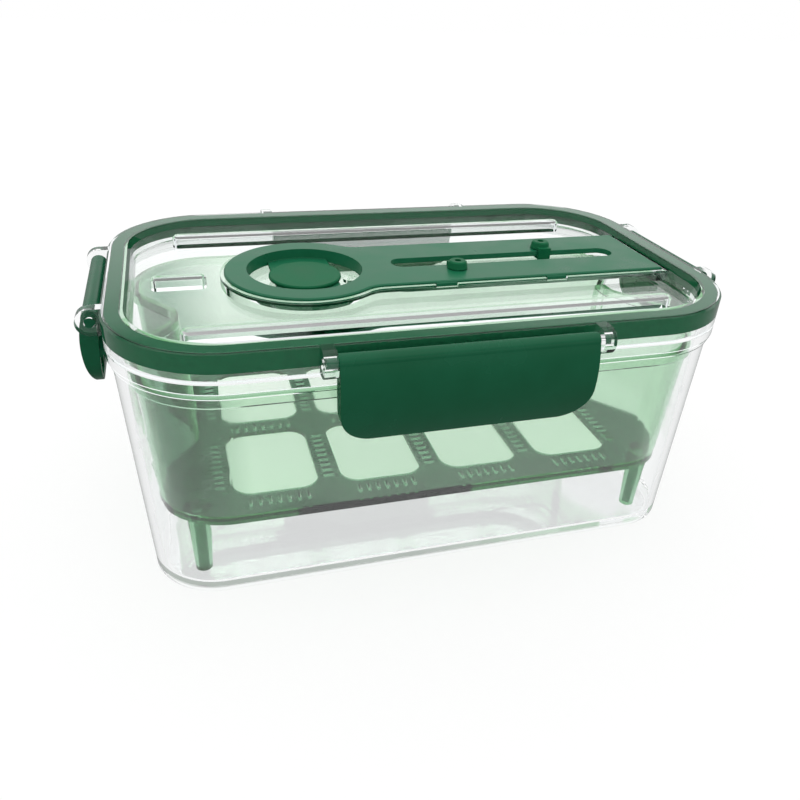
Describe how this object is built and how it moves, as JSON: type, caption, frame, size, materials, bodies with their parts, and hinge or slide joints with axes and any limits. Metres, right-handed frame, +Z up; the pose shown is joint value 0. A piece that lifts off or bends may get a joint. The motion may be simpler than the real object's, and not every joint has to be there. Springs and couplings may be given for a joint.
{
  "type": "produce keeper",
  "caption": "Clear rectangular keeper with a tinted footed drain basket, a clip-on lid with flip clasps, a vent button and sliding date markers.",
  "frame": {"origin": "centre of the footprint, on the surface the box stands on", "axes": "+X along the long side towards the strip's far end, -Y the front with a long clasp, +Z up"},
  "size_m": [0.2772, 0.1788, 0.1163],
  "materials": {
    "clear_shell": "water-clear moulded plastic, polished",
    "tinted_basket": "translucent green moulded plastic, polished, with frosted floor panels",
    "green_plastic": "opaque dark green moulded plastic, satin",
    "green_silicone": "moulded silicone, soft satin"
  },
  "bodies": {
    "box": {"outer_box": "clear_shell"},
    "basket": {"drain_basket": "tinted_basket"},
    "lid": {"lid": "clear_shell", "lid_seal": "green_silicone", "date_plate": "green_plastic"},
    "vent": {"vent_button": "green_plastic", "vent_seal": "green_silicone"},
    "front_marker": {"front_slider": "green_plastic"},
    "back_marker": {"back_slider": "green_plastic"},
    "front_latch": {"front_clasp": "green_plastic"},
    "back_latch": {"back_clasp": "green_plastic"},
    "left_latch": {"left_clasp": "green_plastic"},
    "right_latch": {"right_clasp": "green_plastic"}
  },
  "joints": [
    {"name": "lid_lift", "type": "slide", "parent": "box", "child": "lid", "axis": [0, 0, 1], "range_m": [0, 0.15]},
    {"name": "basket_lift", "type": "slide", "parent": "box", "child": "basket", "axis": [0, 0, 1], "range_m": [0, 0.12]},
    {"name": "front_clasp_hinge", "type": "hinge", "parent": "lid", "child": "front_latch", "pos_m": [0, -0.0839, 0.1092], "axis": [-1, 0, 0], "range_deg": [0, 165]},
    {"name": "back_clasp_hinge", "type": "hinge", "parent": "lid", "child": "back_latch", "pos_m": [0, 0.0839, 0.1092], "axis": [1, 0, 0], "range_deg": [0, 165]},
    {"name": "left_clasp_hinge", "type": "hinge", "parent": "lid", "child": "left_latch", "pos_m": [-0.13315, 0, 0.1092], "axis": [0, 1, 0], "range_deg": [0, 165]},
    {"name": "right_clasp_hinge", "type": "hinge", "parent": "lid", "child": "right_latch", "pos_m": [0.13315, 0, 0.1092], "axis": [0, -1, 0], "range_deg": [0, 165]},
    {"name": "vent_pull", "type": "slide", "parent": "lid", "child": "vent", "axis": [0, 0, 1], "range_m": [0, 0.004]},
    {"name": "front_marker_slide", "type": "slide", "parent": "lid", "child": "front_marker", "axis": [1, 0, 0], "range_m": [-0.02, 0.075]},
    {"name": "back_marker_slide", "type": "slide", "parent": "lid", "child": "back_marker", "axis": [1, 0, 0], "range_m": [-0.07, 0.025]}
  ],
  "couplings": [
    {"joint": "basket_lift", "follows": "lid_lift", "ratio": 0.8}
  ]
}
